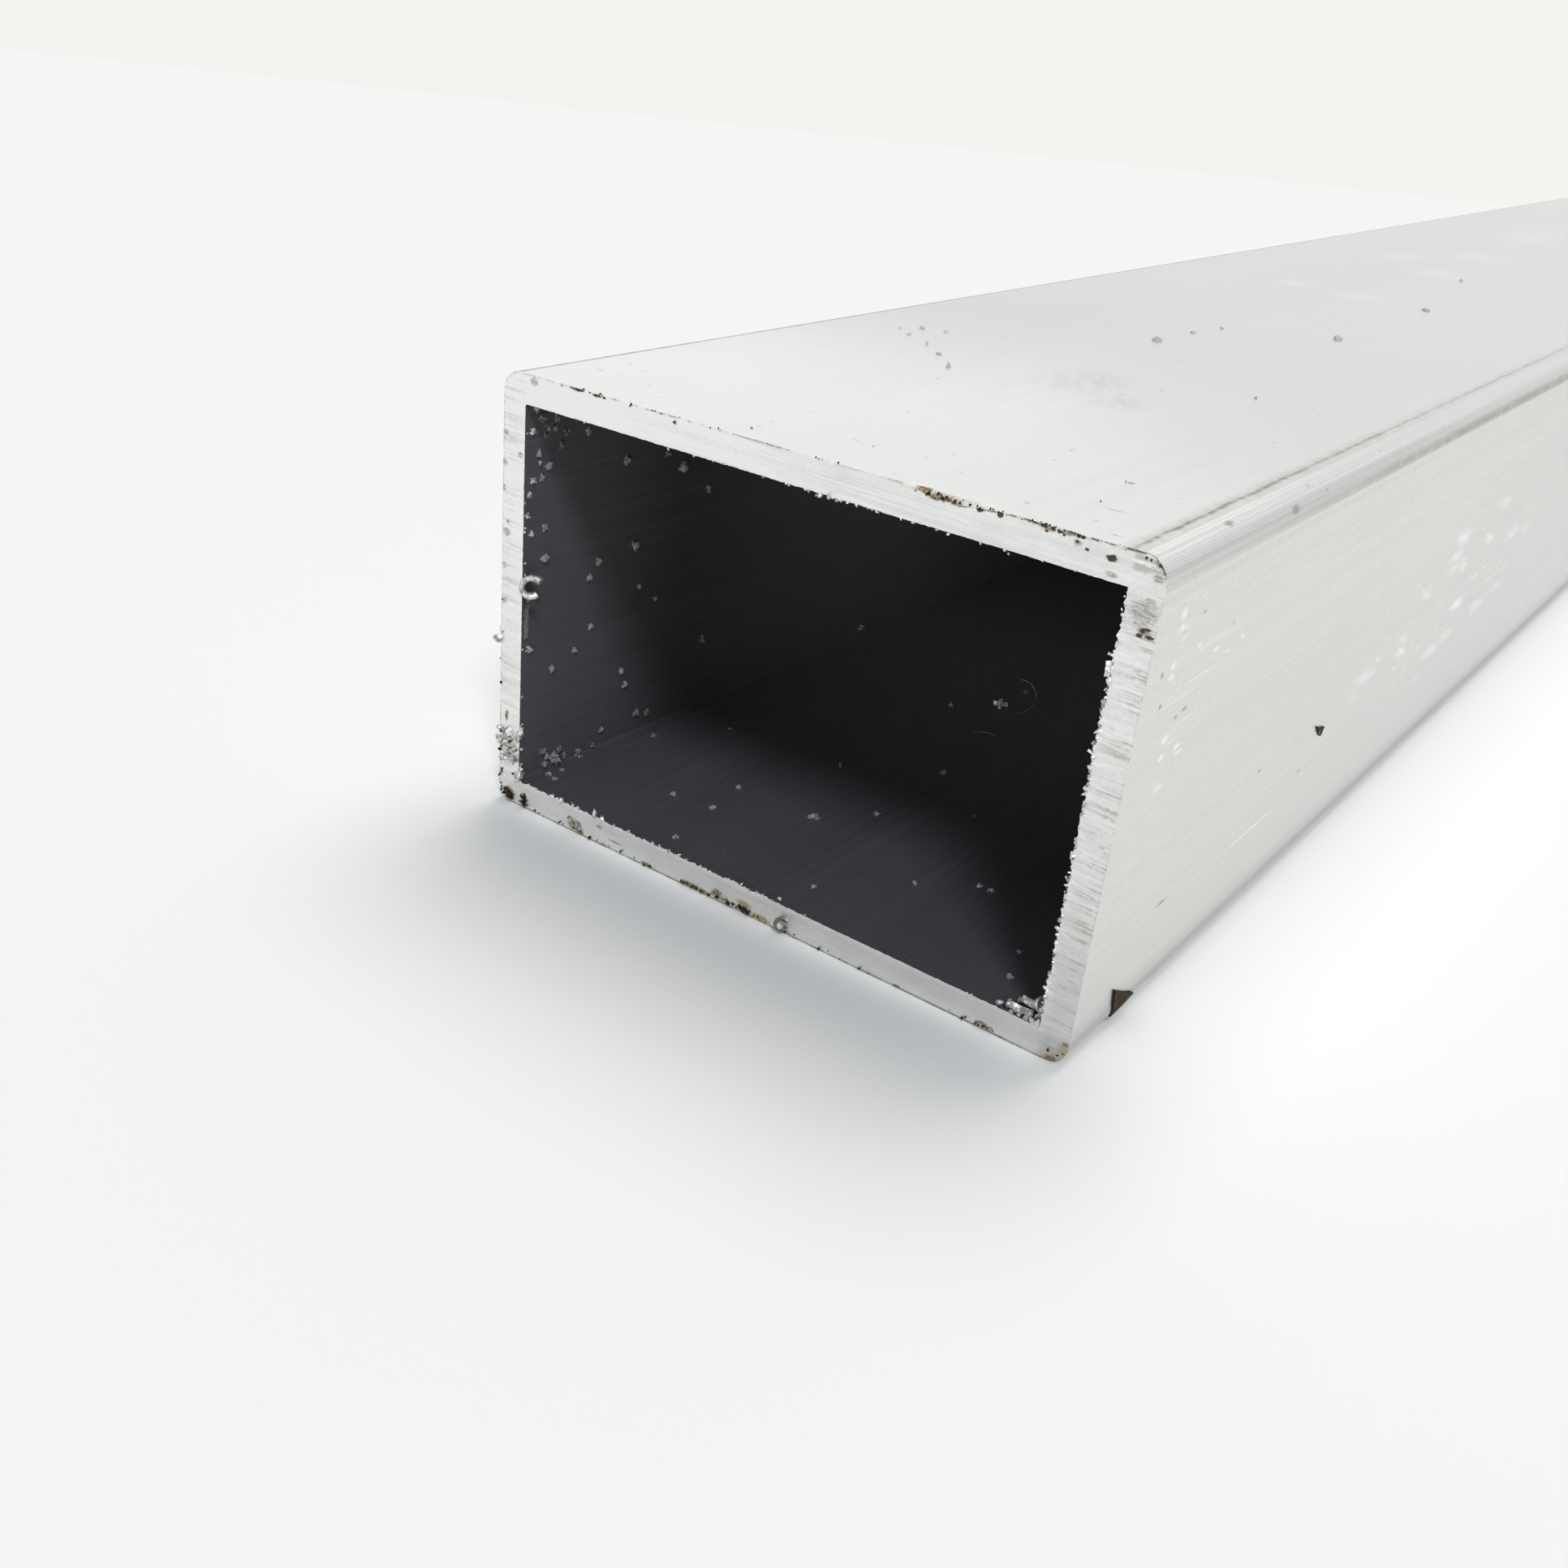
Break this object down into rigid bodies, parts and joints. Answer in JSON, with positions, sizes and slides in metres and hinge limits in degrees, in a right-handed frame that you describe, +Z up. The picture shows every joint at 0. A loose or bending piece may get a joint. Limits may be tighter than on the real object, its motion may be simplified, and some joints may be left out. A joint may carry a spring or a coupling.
{
  "type": "rectangular aluminium tube",
  "caption": "Rectangular aluminium tube, extruded in one piece with narrow rounded corners and a square-cornered bore, sawn off square with ragged burrs left on the cut; plain framing stock.",
  "frame": {"origin": "the middle of the wide outer face that the tube lies on", "axes": "+X across the width of the section, +Y along the tube away from the pictured saw cut, +Z up across its height"},
  "size_m": [0.0762, 0.6096, 0.0508],
  "materials": {
    "mill_aluminium": null
  },
  "bodies": {
    "root": {"tube": "mill_aluminium"}
  },
  "joints": []
}
